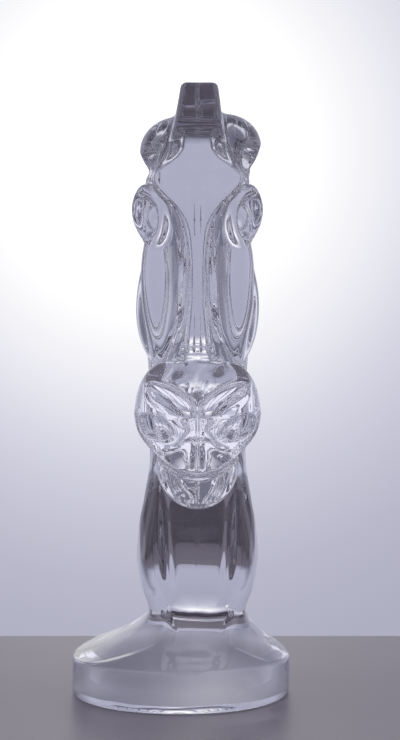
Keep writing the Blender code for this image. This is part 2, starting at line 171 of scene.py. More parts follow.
@dataclass(frozen=True)
class SideView:
    """A smooth closed outline in the side view. Its signed distance is charted once and read between squares."""

    points: Outline
    spacing: float = 0.9
    room: float = 14.0

    @cached_property
    def corner(self) -> Array:
        """The chart's lowest (y, z)."""
        return np.min(self.points, axis=0) - self.room

    @cached_property
    def chart(self) -> Array:
        """Signed distances to the outline, on a grid of (y, z) places."""
        outline = smooth_closed(self.points, steps=24)
        high = np.max(self.points, axis=0) + self.room
        y, z = (np.arange(a, b, self.spacing) for a, b in zip(self.corner, high))
        y, z = y[:, None], z[None, :]
        nearest = np.full((y.size, z.size), np.inf)
        inside = np.zeros(nearest.shape, bool)
        for (y0, z0), (y1, z1) in zip(outline, np.roll(outline, -1, axis=0)):
            run, rise = y1 - y0, z1 - z0
            t = np.clip(((y - y0) * run + (z - z0) * rise) / (run * run + rise * rise), 0, 1)
            nearest = np.minimum(nearest, (y - y0 - t * run) ** 2 + (z - z0 - t * rise) ** 2)
            if rise:
                spans = (z0 <= z) != (z1 <= z)
                inside ^= spans & (y < y0 + (z - z0) * run / rise)
        return np.where(inside, -1, 1) * np.sqrt(nearest)

    @staticmethod
    def weights(t: Array) -> tuple[Array, ...]:
        """How much each of four squares in a row counts, t of the way from the second to the third."""
        return (
            0.5 * (-t + 2 * t**2 - t**3),
            0.5 * (2 - 5 * t**2 + 3 * t**3),
            0.5 * (t + 4 * t**2 - 3 * t**3),
            0.5 * (-(t**2) + t**3),
        )

    def distance(self, at: Point) -> Array:
        """Signed distance to the outline in the side view."""
        where = []
        for axis, start, count in zip(at[1:], self.corner, self.chart.shape):
            square = np.clip((axis - start) / self.spacing, 1, count - 3)
            first = np.floor(square).astype(int)
            where.append((first, self.weights(square - first)))
        (row, across), (column, along) = where
        return sum(
            across[i] * along[j] * self.chart[row + i - 1, column + j - 1] for i in range(4) for j in range(4)
        )

    def slab(self, at: Point, half_width: Array, edge: float | Array) -> Array:
        """The side view given thickness, with its edges rounded.

        Args:
            at: Where to read the form.
            half_width: Half the thickness, at each place.
            edge: Radius of the rounded edges.

        Returns:
            The slab's field.
        """
        across = np.abs(at[0]) - half_width + edge
        along = self.distance(at) + edge
        corner = np.hypot(np.maximum(across, 0), np.maximum(along, 0))
        return corner + np.minimum(np.maximum(across, along), 0) - edge


def spun(a: Array, b: Array, angle: float) -> tuple[Array, Array]:
    """Two coordinates of a point in axes that are turned by an angle in degrees."""
    c, s = math.cos(math.radians(angle)), math.sin(math.radians(angle))
    return a * c + b * s, b * c - a * s


@dataclass(frozen=True)
class Axes:
    """Axes (out, back, up) of a form on the right-hand side, mirrored to the left.

    In degrees, roll lifts the form's outer side, splay turns that side to the front, and tilt lifts the
    form's back, so that a negative tilt leans its top back.
    """

    centre: tuple[float, float, float]
    splay: float = 0.0
    tilt: float = 0.0
    roll: float = 0.0

    def read(self, at: Point) -> Point:
        """The point in these axes."""
        out, back, up = np.abs(at[0]) - self.centre[0], at[1] - self.centre[1], at[2] - self.centre[2]
        out, up = spun(out, up, self.roll)
        back, out = spun(back, out, self.splay)
        back, up = spun(back, up, self.tilt)
        return out, back, up


@dataclass(frozen=True)
class Egg:
    """An ellipsoid in its own axes. Taper narrows its back end and widens its front end."""

    axes: Axes
    radii: tuple[float, float, float]
    offset: tuple[float, float, float] = (0.0, 0.0, 0.0)
    taper: float = 0.0

    def shape(self, at: Point) -> Array:
        """The egg's field."""
        out, back, up = (axis - shift for axis, shift in zip(self.axes.read(at), self.offset))
        narrowing = 1 - self.taper * np.clip(back / self.radii[1], -1, 1)
        own = (out / narrowing, back, up / narrowing)
        scaled = [axis / radius for axis, radius in zip(own, self.radii)]
        size = np.sqrt(sum(part**2 for part in scaled))
        slope = np.sqrt(sum((part / radius) ** 2 for part, radius in zip(scaled, self.radii)))
        return size * (size - 1) / np.maximum(slope, 1e-6)


@dataclass(frozen=True)
class Rim:
    """A raised almond ring in the back-up plane of its own axes, thicker above than below.

    A corner power of 2 makes it an ellipse, and less gives it corners.
    """

    axes: Axes
    size: tuple[float, float]
    tube: float
    brow: float
    brow_from: float
    brow_to: float
    corner_power: float = 2.0

    def shape(self, at: Point) -> Array:
        """The rim's field."""
        out, back, up = self.axes.read(at)
        power = self.corner_power
        share = (np.abs(back / self.size[0]) ** power + np.abs(up / self.size[1]) ** power) ** (1 / power)
        tube = self.tube + self.brow * ease(self.brow_from, self.brow_to, up)
        return np.hypot((share - 1) * min(self.size), out) - tube


# The horse's forms, each in the horse's own axes: x = 0 in its plane of symmetry, y = 0 over its waist


@dataclass(frozen=True)
class Neck:
    """The neck: a thick rounded slab that swells above the waist."""

    width: float = 49.8
    waist_width: float = 39.4
    waist_front: float = -21.0
    waist_back: float = 47.0
    edges: Outline = ((45, 18), (80, 14), (150, 9))     # (z, radius of the rounded edges)
    groove_at: float = 12.5         # the jugular grooves' distance from the plane of symmetry
    groove_half_width: float = 2.4
    groove_depth: float = 2.4

    @cached_property
    def side(self) -> SideView:
        """The neck's side view."""
        front, back = self.waist_front, self.waist_back
        return SideView((
            (front, 12), (front, 30), (-25, 41), (-29, 53), (-28, 65), (-22, 79), (-13.5, 92), (-4, 105),
            (3, 118), (6, 140), (-4, 160), (-12, 190), (-8, 222), (16, 233), (42, 225), (64, 203), (77, 172),
            (82, 138), (79, 115), (71, 98), (61, 86), (back + 1, 76), (back + 2, 66), (54, 57), (59.5, 48),
            (62, 39), (61, 28), (61, 12),
        ))

    def half_width(self, height: Array) -> Array:
        """Half the neck's thickness at each height."""
        waist, swell = self.waist_width / 2, self.width / 2
        return stations(height, (
            (10, waist), (31, waist), (37, waist + 0.25 * (swell - waist)), (43, waist + 0.67 * (swell - waist)),
            (57, swell), (71, 0.965 * swell), (80, 0.9 * swell), (97, 0.81 * swell), (120, 0.82 * swell),
            (150, 0.88 * swell), (180, 0.87 * swell), (210, 0.8 * swell), (235, 0.52 * swell),
        ))

    def shape(self, at: Point) -> Array:
        """The neck's field, with a soft groove down its front on each side of the windpipe."""
        x, y, z = at
        across = np.exp(-(((np.abs(x) - self.groove_at - 0.06 * (z - 60)) / self.groove_half_width) ** 2))
        along = ease(40, 54, z) * ease(116, 98, z) * ease(16, -4, y)
        grooved = (x, y - self.groove_depth * across * along, z)
        return self.side.slab(grooved, self.half_width(z), stations(z, self.edges))


@dataclass(frozen=True)
class Skull:
    """The head without its muzzle: a wedge, narrow at the nose and broad at the cheeks."""

    cheek_width: float = 51.6
    face_top: tuple[float, float] = (-34.0, 218.0)
    head_side: SideView = SideView((
        (-24, 234), (-32, 216), (-39, 200), (-46, 182), (-53, 165), (-60, 150), (-66, 138), (-74, 128),
        (-77, 112), (-73, 97), (-60, 87), (-44, 90.5), (-27, 101.8), (-9, 113.8), (8, 132), (19, 157),
        (18, 184), (9, 210), (-2, 232),
    ))
    face_side: SideView = SideView((
        (-27, 238), (-34, 218), (-42, 200), (-49.5, 182), (-56.5, 165), (-63.5, 148), (-67, 141.5),
        (-66, 139), (-58, 138), (-48, 152), (-38, 180), (-26, 206), (-14, 226),
    ))
    cheek_stations: Outline = (
        (86, 13), (100, 15), (112, 17), (128, 17), (145, 19.5), (160, 21.5), (175, 22), (190, 21.5),
        (200, 21), (212, 21.5), (219, 21), (226, 19), (236, 13),
    )
    nose_stations: Outline = (
        (95, 12), (135, 9), (150, 5.6), (172, 4.8), (185, 6), (193, 8.5), (200, 13), (206, 17), (212, 17),
        (220, 13), (235, 9),
    )
    face_stations: Outline = (
        (138, 6.6), (144, 5.4), (150, 4.6), (156, 4.0), (165, 3.5), (175, 3.5), (185, 4.2), (193, 5.8),
        (199.5, 9), (204.5, 13.8), (209, 17.3), (212, 17.8), (216, 14), (220, 8.5), (224, 6), (240, 5.6),
    )
    ridge_edges: Outline = ((142, 3.0), (188, 3.4), (202, 1.5))     # (z, radius of the nose ridge's edges)
    flute_depth: float = 0.8        # of the shallow flute down the middle of the nose
    flute_half_width: float = 1.6
    jaw_centre: tuple[float, float, float] = (13.0, 0.0, 161.0)
    cheekbone: Egg = Egg(Axes((17, -30, 168), splay=10, tilt=FACE_TILT), (5.5, 5, 22))

    def behind_face(self, at: Point) -> Array:
        """Depth behind the straight line of the face."""
        forward, height = self.face_top
        return (at[1] - forward + FACE_SLOPE * (height - at[2])) * math.cos(math.atan(FACE_SLOPE))

    def shape(self, at: Point) -> Array:
        """The skull's field: the wedge, the jaw's disc, the cheekbone and the flat of the face."""
        nose, cheeks = stations(at[2], self.nose_stations), stations(at[2], self.cheek_stations)
        half_width = nose + (cheeks - nose) * ease(2, 32, self.behind_face(at))
        head = self.head_side.slab(at, half_width, edge=6)
        jaw = Egg(Axes(self.jaw_centre, tilt=FACE_TILT), (self.cheek_width / 2 - self.jaw_centre[0], 20.5, 28))
        head = melt(melt(head, jaw.shape(at), 2.5), self.cheekbone.shape(at), 7)
        x, y, z = at
        sunk = self.flute_depth * np.exp(-((x / self.flute_half_width) ** 2)) * ease(216, 200, z)
        face = self.face_side.slab(
            (x, y - sunk, z), stations(z, self.face_stations), stations(z, self.ridge_edges)
        )
        return melt(head, face, 3.5)


@dataclass(frozen=True)
class Muzzle:
    """Nose end, two nostril wings and the upper lip, under a flat top, with the nostrils' cups and rolls."""

    width: float = 48.0
    wing_middle: float = 11.5
    flat_top: tuple[tuple[float, float], tuple[float, float]] = ((-67.0, 137.5), (-84.5, 119.5))
    flow_height: float = 0.5        # of the waves that the glass's flow has left in the flat top
    nose_end: Egg = Egg(Axes((0, -66, 118), tilt=FACE_TILT), (17, 18.5, 19))
    upper_lip: Egg = Egg(Axes((0, -71, 99.5)), (18.3, 14, 12.2))
    wing_roll: Egg = Egg(Axes((10.8, -79, 123.2), splay=-37, roll=29), (13.5, 5.4, 5.0))
    nostril_roll: Rim = Rim(Axes((14.2, -78.5, 112.6), splay=52, tilt=17), (8.8, 5.2), 1.5, 1.5, -2, 4)
    nostril_cup: Egg = Egg(Axes((16.6, -82.2, 112.8), splay=52, tilt=17), (6.6, 7.6, 4.3))

    def above_flat_top(self, at: Point) -> Array:
        """Signed distance, in the side view, above the line of the flat top."""
        (y0, z0), (y1, z1) = self.flat_top
        length = math.hypot(y1 - y0, z1 - z0)
        return ((y0 - y1) * (at[2] - z0) - (z0 - z1) * (at[1] - y0)) / length

    def shape(self, at: Point, above_mouth: Array) -> Array:
        """The muzzle's field, without its nostrils, cut off along the mouth."""
        wing = Egg(Axes((self.wing_middle, -69, 119), tilt=-20), (self.width / 2 - self.wing_middle, 15.5, 19))
        block = melt(melt(self.nose_end.shape(at), wing.shape(at), 3), self.upper_lip.shape(at), 4)
        flow = np.sin((at[0] + 0.8 * at[2]) / 3.1) + np.sin((1.1 * at[0] - at[2]) / 2.3 + 1.0)
        block = trim(block, self.above_flat_top(at) + self.flow_height / 2 * flow, 0.7)
        return trim(melt(block, self.wing_roll.shape(at), 1.5), -above_mouth, 0.6)

    def open_nostrils(self, head: Array, at: Point) -> Array:
        """The head with a cup in each wing, under a roll that sweeps down to the middle."""
        return carve(melt(head, self.nostril_roll.shape(at), 1.6), self.nostril_cup.shape(at), 1.2)


@dataclass(frozen=True)
class Mouth:
    """Chin, the line of the mouth, and the notch where the nose bone ends."""

    chin: Egg = Egg(Axes((0, -60, 98), tilt=8), (16, 17, 18))
    line_height: float = 94.8       # the middle of the upper lip's edge
    smile: float = 0.026            # how fast that edge rises to the sides
    line_width: float = 3.0
    line_depth: float = 2.6
    notch_width: float = 3.0
    notch_depth: float = 2.0

    def above_line(self, at: Point) -> Array:
        """Height above the upper lip's edge."""
        return at[2] - (self.line_height + self.smile * at[0] ** 2 + 0.12 * (at[1] + 84))

    def cut(self, head: Array, at: Point, behind_face: Array) -> Array:
        """The head with its chin, mouth and notch."""
        x, y, z = at
        head = melt(head, self.chin.shape(at), 2.5)
        mouth = self.above_line(at) + self.line_width / 2
        head = engrave(head, mouth, self.line_width, self.line_depth, ease(-38, -50, y))
        notch = z - (141 + 0.35 * (y + 67))
        where = ease(13, 8, np.abs(x)) * ease(6, 3, behind_face)
        return engrave(head, notch, self.notch_width, self.notch_depth, where)


@dataclass(frozen=True)
class Ears:
    """Laid-back ears: tapering leaves, hollowed on their outer side, and a little higher on the right."""

    axes: Axes = Axes((12.5, 7, 229), splay=6, tilt=14, roll=-26)
    leaf_radii: tuple[float, float, float] = (13.5, 27, 12)
    hollow_radii: tuple[float, float, float] = (8, 14, 6)
    hollow_offset: tuple[float, float, float] = (13, -9, 0)
    taper: float = 0.3
    lean: float = 4.0               # degrees that the pair is turned about Y
    pivot: tuple[float, float] = (1.2, 228.0)       # the (x, z) about which it turns

    def add(self, glass: Array, at: Point) -> Array:
        """The glass with both ears."""
        x, z = spun(at[0] - self.pivot[0], at[2] - self.pivot[1], self.lean)
        turned = (x, at[1], z + self.pivot[1])
        leaf = Egg(self.axes, self.leaf_radii, taper=self.taper)
        hollow = Egg(self.axes, self.hollow_radii, self.hollow_offset, self.taper)
        return carve(melt(glass, leaf.shape(turned), 4), hollow.shape(turned), 2)


@dataclass(frozen=True)
class Eyes:
    """Almond eyes: on a mound under the brow, a heavy lid, a socket and a raised eyeball."""

    mound: Egg = Egg(Axes((13.6, -23, 196.5), splay=38, tilt=FACE_TILT), (9.5, 10.5, 12.5))
    lid: Rim = Rim(Axes((18.9, -27.2, 196.5), splay=38, tilt=FACE_TILT), (7.8, 9.8), 2.0, 1.2, -4, 9, 1.8)
    socket: Egg = Egg(Axes((21.5, -29.2, 195.8), splay=38, tilt=FACE_TILT), (5.5, 6.1, 8.1))
    ball: Egg = Egg(Axes((14.8, -23.9, 195.8), splay=38, tilt=FACE_TILT), (6.6, 5.2, 6.9))

    def add(self, glass: Array, at: Point) -> Array:
        """The glass with both eyes."""
        lidded = melt(melt(glass, self.mound.shape(at), 4), self.lid.shape(at), 2.5)
        return melt(carve(lidded, self.socket.shape(at), 1.3), self.ball.shape(at), 0.8)


@dataclass(frozen=True)
class Mane:
    """The roached mane: a slab along the crest, cut flat in front and spreading over the neck below the ears.

    Its locks are pressed in afterwards.
    """

    width: float = 22.8
    edge: float = 2.2
    lean: float = 0.8       # the top leans this far to the right
    side: SideView = SideView((
        (-31.5, 229.5), (-30.5, 236), (-27.5, 248), (-23, 251.2), (2, MANE_TOP), (28, 250.6), (51, 243),
        (68, 231), (79, 214), (88, 189), (94, 156), (94.5, 136), (94.5, 122), (89, 112), (79.5, 102),
        (70, 95), (60, 89), (60, 104),
        (67, 127), (66, 160), (54, 190), (34, 212), (6, 222), (-20, 226.5),
    ))
    middle: tuple[float, float] = (10.0, 150.0)     # (y, z) about which the locks fan out

    def shape(self, at: Point) -> Array:
        """The mane's field, without its locks."""
        thick = self.width / 2
        half_width = stations(at[2], (
            (60, 0.9 * thick), (120, 1.2 * thick), (170, 1.5 * thick), (205, 1.58 * thick),
            (219, 1.2 * thick), (227, 0.99 * thick), (238, 0.81 * thick), (248, 0.68 * thick),
            (256, 0.6 * thick),
        ))
        upright = (at[0] - self.lean * ease(222, 252, at[2]), at[1], at[2])
        return self.side.slab(upright, half_width, self.edge)

    def lock_reach(self, at: Point, other_glass: Array) -> Array:
        """How deep the locks go, 0 to 1: whole on the mane's two sides, none on its edges or the other forms."""
        _, y, z = at
        swing = np.degrees(np.arctan2(z - self.middle[1], y - self.middle[0]))
        on_mane = ease(-1.5, 3.5, other_glass - self.shape(at))
        return on_mane * ease(0, -6, self.side.distance(at)) * ease(-2, 14, y) * ease(118, 95, swing)


@dataclass(frozen=True)
class Foot:
    """The foot: an oval block swept in to the waist at front and back, and scooped at its sides."""

    width: float = 91.0
    depth: float = 124.0
    wall: float = 14.5
    waist_height: float = 32.0
    oval_power: float = 2.2
    scoop_power: float = 1.35
    rim: float = 0.9        # the ground underside's edge is eased by about this much
    sweep: Outline = ((-0.83, 0), (-0.35, 0.02), (0, 0.12), (0.27, 0.4), (0.5, 0.66), (0.8, 0.9), (1.23, 1))
    waist_taper: float = 0.5        # how much of the waist's width its front and back ends lose

    def waist_edge(self, y: Array, neck: Neck, shift: float) -> Array:
        """Half the width up to which the scoops come, narrower at the waist's front and back ends."""
        middle = (neck.waist_front + neck.waist_back) / 2 + shift
        share = np.clip(2 * np.abs(y - middle) / (neck.waist_back - neck.waist_front + 6), 0, 1.2)
        return neck.waist_width / 2 * (1 - self.waist_taper * share**3)

    def scooped(self, block: Array, at: Point, side: Side, shift: float, waist_half: Array) -> Array:
        """The block with one side's scoop, from the wall's top edge up to the waist.

        Args:
            block: The oval block's field.
            at: Where to read the form.
            side: Which side to scoop.
            shift: How far right of the foot's centre the horse's plane of symmetry is.
            waist_half: Half the width up to which the scoop comes, at each place.

        Returns:
            The block's field with the scoop taken out.
        """
        rise_whole, half_x = self.waist_height - self.wall, self.width / 2
        reach = half_x - side.value * shift - waist_half
        inward = (half_x - side.value * at[0]) / reach
        rise = 1 - np.maximum(1 - np.clip(inward, 0, 1) ** self.scoop_power, 0) ** (1 / self.scoop_power)
        above = (at[2] - self.wall - rise_whole * rise) / np.hypot(1, rise_whole / reach)
        crease = 0.8 + 6.2 * ease(0.3, 0.9, (at[2] - self.wall) / rise_whole)
        return trim(block, np.where(inward < 1, above, -half_x), crease)

    def shape(self, at: Point, neck: Neck, shift: tuple[float, float]) -> Array:
        """The foot's field, in the foot's own axes.

        Args:
            at: Where to read the form.
            neck: The neck, whose waist the foot sweeps up to.
            shift: Where the middle of the waist is, from the foot's centre.

        Returns:
            The foot's field.
        """
        x, y, z = at
        half_x, half_y = self.width / 2, self.depth / 2
        inwards = stations((z - self.wall) / (self.waist_height - self.wall), self.sweep)
        front = half_y + inwards * (1 - neck.waist_front - shift[1] - half_y)
        back = half_y + inwards * (neck.waist_back - 1 + shift[1] - half_y)
        power = self.oval_power
        share = np.abs(x / half_x) ** power + np.abs(y / np.where(y < 0, front, back)) ** power
        block = (share ** (1 / power) - 1) * half_x
        for side in Side:
            block = self.scooped(block, at, side, shift[0], self.waist_edge(y, neck, shift[1]))
        return trim(block, z - self.waist_height - 8, 1.0)


# Skin


@dataclass
class SkinGrid:
    """A grid of cells round a form, which gives the form a closed skin with one point in each cell it crosses."""

    low: tuple[float, float, float]
    high: tuple[float, float, float]
    step: float
    axes: list[Array] = field(init=False)

    def __post_init__(self) -> None:
        """Lays the grid lines, with room for a few cells all round."""
        room = 4 * self.step
        self.axes = [np.arange(a - room, b + room, self.step) for a, b in zip(self.low, self.high)]

    def points(self) -> Point:
        """The grid's points, as three arrays that broadcast together."""
        x, y, z = self.axes
        return x[:, None, None], y[None, :, None], z[None, None, :]

    @staticmethod
    def without_pinches(glass: Array) -> Array:
        """The field with glass added where a grid square's corners alternate, which would pinch the skin."""
        just_inside = -0.02
        filled = True
        while filled:
            filled = False
            for plane in ((0, 1), (1, 2), (0, 2)):
                squares = np.moveaxis(glass, plane, (0, 1))
                inside = squares < 0
                near, beside, above, far = inside[:-1, :-1], inside[1:, :-1], inside[:-1, 1:], inside[1:, 1:]
                rising, falling = near & far & ~beside & ~above, beside & above & ~near & ~far
                squares[1:, :-1][rising] = just_inside
                squares[:-1, :-1][falling] = just_inside
                filled = filled or bool(rising.any() or falling.any())
        return glass

    @staticmethod
    def quads_across(inside: Array, number: Array, axis: int) -> Array:
        """A quad round each grid edge that passes through the surface.

        Args:
            inside: Which grid points are in the glass.
            number: Each cell's point, by number.
            axis: The axis that the edges lie along.

        Returns:
            The quads, as four point numbers a row that run anticlockwise seen from outside.
        """
        first = [slice(1, count - 1) for count in inside.shape]
        second = list(first)
        first[axis], second[axis] = slice(0, inside.shape[axis] - 1), slice(1, inside.shape[axis])
        changes = np.argwhere(inside[tuple(first)] != inside[tuple(second)])
        leaving = inside[tuple(first)][tuple(changes.T)]
        u, v = np.eye(3, dtype=int)[(axis + 1) % 3], np.eye(3, dtype=int)[(axis + 2) % 3]
        cells = changes + 1 - np.eye(3, dtype=int)[axis]
        quads = np.stack([number[tuple((cells - shift).T)] for shift in (0 * u, u, u + v, v)], axis=1)
        quads[~leaving] = quads[~leaving, ::-1]
        return quads

    def skin(self, glass: Array) -> tuple[Array, Array]:
        """Points and quads of the skin.

        Args:
            glass: The form's field on the grid's points.

        Returns:
            The points, one (x, y, z) a row, and the quads.
        """
        glass = self.without_pinches(glass)
        inside = glass < 0
        shape = np.array(glass.shape)
        corners = list(np.ndindex(2, 2, 2))
        count = np.zeros(shape - 1, int)
        for corner in corners:
            count += inside[tuple(slice(c, n - 1 + c) for c, n in zip(corner, shape))]
        cells = np.argwhere((count > 0) & (count < 8))
        number = np.full(shape - 1, -1)
        number[tuple(cells.T)] = np.arange(len(cells))
        total, hits = np.zeros((len(cells), 3)), np.zeros(len(cells))
        for corner in corners:
            for step in np.eye(3, dtype=int):
                if np.dot(corner, step):
                    continue
                here = glass[tuple((cells + corner).T)]
                there = glass[tuple((cells + corner + step).T)]
                crossed = (here < 0) != (there < 0)
                share = np.where(crossed, here / np.where(crossed, here - there, 1), 0)
                total += crossed[:, None] * (np.array(corner) + share[:, None] * step)
                hits += crossed
        points = np.array([axis[0] for axis in self.axes]) + (cells + total / hits[:, None]) * self.step
        return points, np.concatenate([self.quads_across(inside, number, axis) for axis in range(3)])


# Materials


def linear(colour: str) -> tuple[float, float, float, float]:
    """An sRGB colour such as "#F0F0F8" as the linear RGBA that shaders take."""
    parts = [int(colour[i:i + 2], 16) / 255 for i in (1, 3, 5)]
    red, green, blue = (p / 12.92 if p <= 0.04045 else ((p + 0.055) / 1.055) ** 2.4 for p in parts)
    return red, green, blue, 1.0


def add_node(
    tree: bpy.types.NodeTree,
    kind: str,
    settings: dict[str, Any] | None = None,
    inputs: dict[str | int, Any] | None = None,
) -> bpy.types.Node:
    """Adds a node with its settings and links.

    Args:
        tree: The node tree to add it to.
        kind: Blender's name for the kind of node.
        settings: The node's own properties, by name.
        inputs: By socket name or number, the socket that feeds an input, or the value that it holds.

    Returns:
        The new node.
    """
    node = tree.nodes.new(kind)
    for name, value in (settings or {}).items():
        setattr(node, name, value)
    for key, value in (inputs or {}).items():
        if isinstance(value, bpy.types.NodeSocket):
            tree.links.new(value, node.inputs[key])
        else:
            node.inputs[key].default_value = value
    return node


@dataclass(frozen=True)
class LeadCrystal:
    """Lead crystal, cast in a mould and polished: clear, heavy and bright, with a faint lilac cast.

    Its high index is what gives the eye the dark contour lines and the strong edge glints. Fire and acid
    polishing leave no roughness, but the skin keeps a slow waviness from the mould.
    """

    colour: str = "#FAFAFE"
    index: float = 1.545
    roughness: float = 0.0
    ground: float = 0.45            # roughness of the ground middle of the underside
    ground_radius: float = 30.0     # millimetres
    seam_plane: float = 7.0         # millimetres right of the foot's centre
    seam_half_width: float = 0.9    # millimetres
    seam_height: float = 0.08       # millimetres
    seam_from: float = 34.0         # millimetres above the table where the polished-out seam begins to show
    seam_full: float = 60.0

    def build(self) -> bpy.types.Material:
        """The material."""
        material = bpy.data.materials.new("lead_crystal_cast_and_polished")
        material.use_nodes = True
        tree = material.node_tree
        tree.nodes.clear()
        place = add_node(tree, "ShaderNodeTexCoord")
        parts = add_node(tree, "ShaderNodeSeparateXYZ", None, {0: place.outputs["Object"]})
        off_plane = add_node(tree, "ShaderNodeMath", {"operation": "SUBTRACT"}, {
            0: parts.outputs["X"], 1: self.seam_plane / 1000,
        })
        beside = add_node(tree, "ShaderNodeMath", {"operation": "ABSOLUTE"}, {0: off_plane.outputs[0]})
        seam = add_node(tree, "ShaderNodeMapRange", {"interpolation_type": "SMOOTHSTEP"}, {
            "Value": beside.outputs[0], "From Max": self.seam_half_width / 1000, "To Min": 1.0, "To Max": 0.0,
        })
        above_foot = add_node(tree, "ShaderNodeMapRange", {"interpolation_type": "SMOOTHSTEP"}, {
            "Value": parts.outputs["Z"], "From Min": self.seam_from / 1000, "From Max": self.seam_full / 1000,
        })
        ridge = add_node(tree, "ShaderNodeMath", {"operation": "MULTIPLY"}, {
            0: seam.outputs["Result"], 1: above_foot.outputs["Result"],
        })
        skin = add_node(tree, "ShaderNodeBump", None, {
            "Height": ridge.outputs[0], "Strength": 1.0, "Distance": self.seam_height / 1000,
        })
        underneath = add_node(tree, "ShaderNodeMapRange", {"interpolation_type": "SMOOTHSTEP"}, {
            "Value": parts.outputs["Z"], "From Min": 0.0002, "From Max": 0.0008, "To Min": 1.0, "To Max": 0.0,
        })
        across = add_node(tree, "ShaderNodeVectorMath", {"operation": "MULTIPLY"}, {
            0: place.outputs["Object"], 1: (1.0, 0.75, 0.0),
        })
        radius = add_node(tree, "ShaderNodeVectorMath", {"operation": "LENGTH"}, {0: across.outputs[0]})
        inside = add_node(tree, "ShaderNodeMapRange", {"interpolation_type": "SMOOTHSTEP"}, {
            "Value": radius.outputs["Value"], "From Min": (self.ground_radius - 1.5) / 1000,
            "From Max": self.ground_radius / 1000, "To Min": self.ground, "To Max": self.roughness,
        })
        roughness = add_node(tree, "ShaderNodeMath", {"operation": "MULTIPLY"}, {
            0: underneath.outputs["Result"], 1: inside.outputs["Result"],
        })
        glass = add_node(tree, "ShaderNodeBsdfPrincipled", None, {
            "Base Color": linear(self.colour), "Metallic": 0.0, "Roughness": roughness.outputs[0],
            "IOR": self.index, "Transmission Weight": 1.0, "Normal": skin.outputs["Normal"],
        })
        add_node(tree, "ShaderNodeOutputMaterial", None, {"Surface": glass.outputs["BSDF"]})
        return material


@dataclass(frozen=True)
class SatinLaminate:
    """Pale satin laminate, pressed smooth: an even matt grey with a broad soft sheen towards the light."""

    colour: str = "#ADA2A5"
    mottle: str = "#A69B9E"
    mottle_size: float = 60.0       # millimetres
    roughness: float = 0.36
    sheen: float = 1.0

    def build(self) -> bpy.types.Material:
        """The material."""
        material = bpy.data.materials.new("satin_laminate_pressed")
        material.use_nodes = True
        tree = material.node_tree
        tree.nodes.clear()
        place = add_node(tree, "ShaderNodeTexCoord")
        clouds = add_node(tree, "ShaderNodeTexNoise", {"noise_dimensions": "3D"}, {
            "Vector": place.outputs["Object"], "Scale": 1000 / self.mottle_size, "Detail": 2.0,
        })
        tint = add_node(tree, "ShaderNodeMix", {"data_type": "RGBA"}, {
            0: clouds.outputs["Fac"], 6: linear(self.mottle), 7: linear(self.colour),
        })
        top = add_node(tree, "ShaderNodeBsdfPrincipled", None, {
            "Base Color": tint.outputs[2], "Roughness": self.roughness, "Specular IOR Level": self.sheen,
        })
        add_node(tree, "ShaderNodeOutputMaterial", None, {"Surface": top.outputs["BSDF"]})
        return material


# The casting


